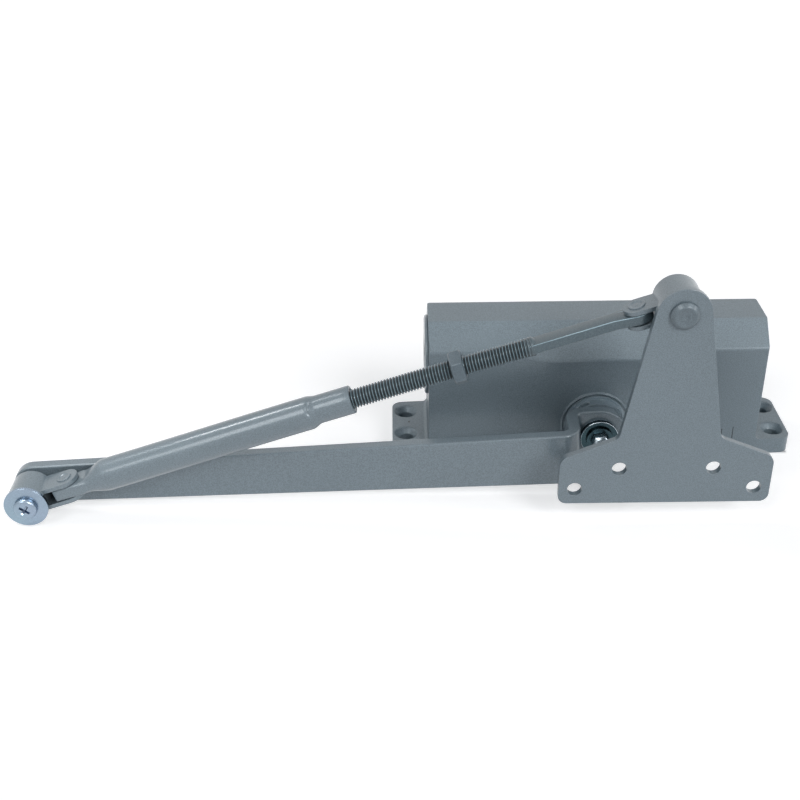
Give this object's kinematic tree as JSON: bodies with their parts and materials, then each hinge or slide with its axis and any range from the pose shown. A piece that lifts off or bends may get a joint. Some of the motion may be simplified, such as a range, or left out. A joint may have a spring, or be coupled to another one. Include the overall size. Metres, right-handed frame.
{
  "type": "door closer",
  "caption": "Surface-mounted hydraulic door closer: cast body with rack and pinion, joggled main arm, adjustable forearm and flat frame bracket.",
  "frame": {"origin": "centre of the body's four-screw pattern, on the mounting face that lies against the door", "axes": "+X along the body, away from the elbow; -Y along the spindle towards the arms; +Z out of the mounting face"},
  "size_m": [0.3389, 0.1095, 0.1063],
  "materials": {
    "cast_body": "silver paint with a fine metallic grain",
    "painted_steel": "silver paint, satin",
    "dark_rod": "thin silver-grey coat over rolled thread",
    "zinc": "bright blue zinc plate",
    "steel": "ground and hardened",
    "spring_steel": "oiled",
    "bronze": "sintered bearing metal",
    "rubber": "oil-resistant seal rubber",
    "cap_plastic": "moulded, fine texture"
  },
  "bodies": {
    "closer_body": {"housing": "cast_body", "end_plug_left": "painted_steel", "end_plug_right": "painted_steel", "plug_seals": "rubber", "bearing_retainer_front": "painted_steel", "bearing_retainer_rear": "painted_steel", "pinion_bearing_front": "bronze", "pinion_bearing_rear": "bronze", "shaft_seals": "rubber", "spindle_cap": "cap_plastic", "valve_bushes": "bronze", "return_spring": "spring_steel"},
    "sweep_screw": {"sweep_valve": "zinc"},
    "latch_screw": {"latch_valve": "zinc"},
    "piston": {"rack_piston": "steel", "piston_seals": "rubber", "check_valve": "bronze"},
    "arm": {"pinion_shaft": "steel", "main_arm": "painted_steel", "arm_washer": "zinc", "arm_lock_washer": "zinc", "arm_bolt": "zinc", "elbow_stud": "zinc", "elbow_washer": "zinc", "elbow_screw": "zinc"},
    "elbow": {"elbow_knuckle": "painted_steel", "elbow_rivet": "painted_steel"},
    "forearm": {"forearm_tube": "painted_steel"},
    "rod": {"threaded_rod": "dark_rod"},
    "nut": {"lock_nut": "dark_rod"},
    "pivot": {"bracket_knuckle": "painted_steel", "rod_rivet": "painted_steel"},
    "bracket": {"bracket_plate": "painted_steel", "bracket_rivet": "painted_steel"}
  },
  "joints": [
    {"name": "spindle_turn", "type": "hinge", "parent": "closer_body", "child": "arm", "pos_m": [0, 0, 0.0195], "axis": [0, 1, 0], "range_deg": [0, 150], "stiffness_Nm_per_rad": 4.4, "springref_deg": -81.93},
    {"name": "piston_slide", "type": "slide", "parent": "closer_body", "child": "piston", "axis": [1, 0, 0], "range_m": [0, 0.0276], "deforming": ["return_spring"]},
    {"name": "elbow_turn", "type": "hinge", "parent": "arm", "child": "elbow", "pos_m": [-0.2404, -0.05975, 0.01005], "axis": [0, 1, 0], "continuous": true},
    {"name": "elbow_tilt", "type": "hinge", "parent": "elbow", "child": "forearm", "pos_m": [-0.22424, -0.05975, 0.01534], "axis": [-0.3112, 0, 0.9504], "range_deg": [-30, 2]},
    {"name": "rod_adjust", "type": "slide", "parent": "forearm", "child": "rod", "axis": [0.9504, 0, 0.3112], "range_m": [-0.02, 0.025]},
    {"name": "nut_travel", "type": "slide", "parent": "rod", "child": "nut", "axis": [0.9504, 0, 0.3112], "range_m": [-0.02, 0.024]},
    {"name": "bracket_tilt", "type": "hinge", "parent": "rod", "child": "pivot", "pos_m": [0.00637, -0.05975, 0.09085], "axis": [-0.3112, 0, 0.9504], "range_deg": [-16, 25]},
    {"name": "bracket_turn", "type": "hinge", "parent": "pivot", "child": "bracket", "pos_m": [0.0212, -0.0677, 0.0957], "axis": [0, -1, 0], "continuous": true},
    {"name": "sweep_valve_turn", "type": "hinge", "parent": "closer_body", "child": "sweep_screw", "pos_m": [-0.07, -0.008, 0.0155], "axis": [1, 0, 0], "range_deg": [-180, 180]},
    {"name": "latch_valve_turn", "type": "hinge", "parent": "closer_body", "child": "latch_screw", "pos_m": [-0.07, 0.008, 0.0155], "axis": [1, 0, 0], "range_deg": [-180, 180]}
  ],
  "couplings": [
    {"joint": "piston_slide", "follows": "spindle_turn", "m_per_rad": 0.0105}
  ]
}
